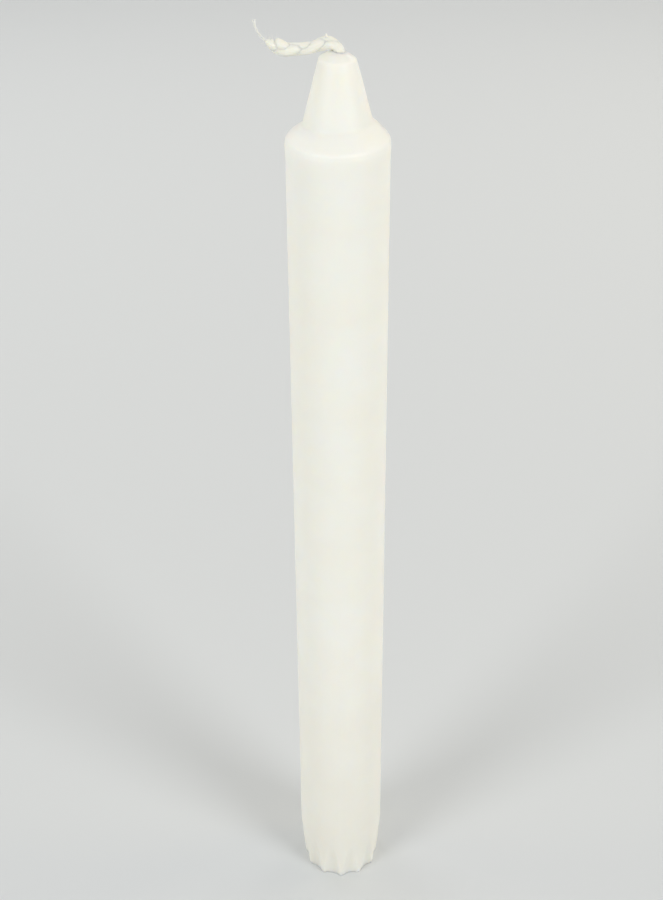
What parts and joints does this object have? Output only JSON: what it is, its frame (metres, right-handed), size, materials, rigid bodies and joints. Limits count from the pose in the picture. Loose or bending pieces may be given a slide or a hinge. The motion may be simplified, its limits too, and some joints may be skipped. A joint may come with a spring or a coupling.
{
  "type": "dinner candle",
  "caption": "Straight moulded wax candle with a cone tip, a fluted tapered foot and a bent, plaited cotton wick with one loose yarn.",
  "frame": {"origin": "centre of the foot's flat face, where the candle stands", "axes": "+Z along the candle from the foot to the tip; the wick's free end bends over towards -X; -Y is the side seen from the front"},
  "size_m": [0.0291, 0.023, 0.2486],
  "materials": {
    "wax": "satin ivory candle wax, faintly translucent",
    "wick_cotton": "waxed plaited cotton, off-white"
  },
  "bodies": {
    "root": {"wax_body": "wax", "wick_strand_left": "wick_cotton", "wick_strand_middle": "wick_cotton", "wick_strand_right": "wick_cotton", "loose_yarn": "wick_cotton"}
  },
  "joints": []
}
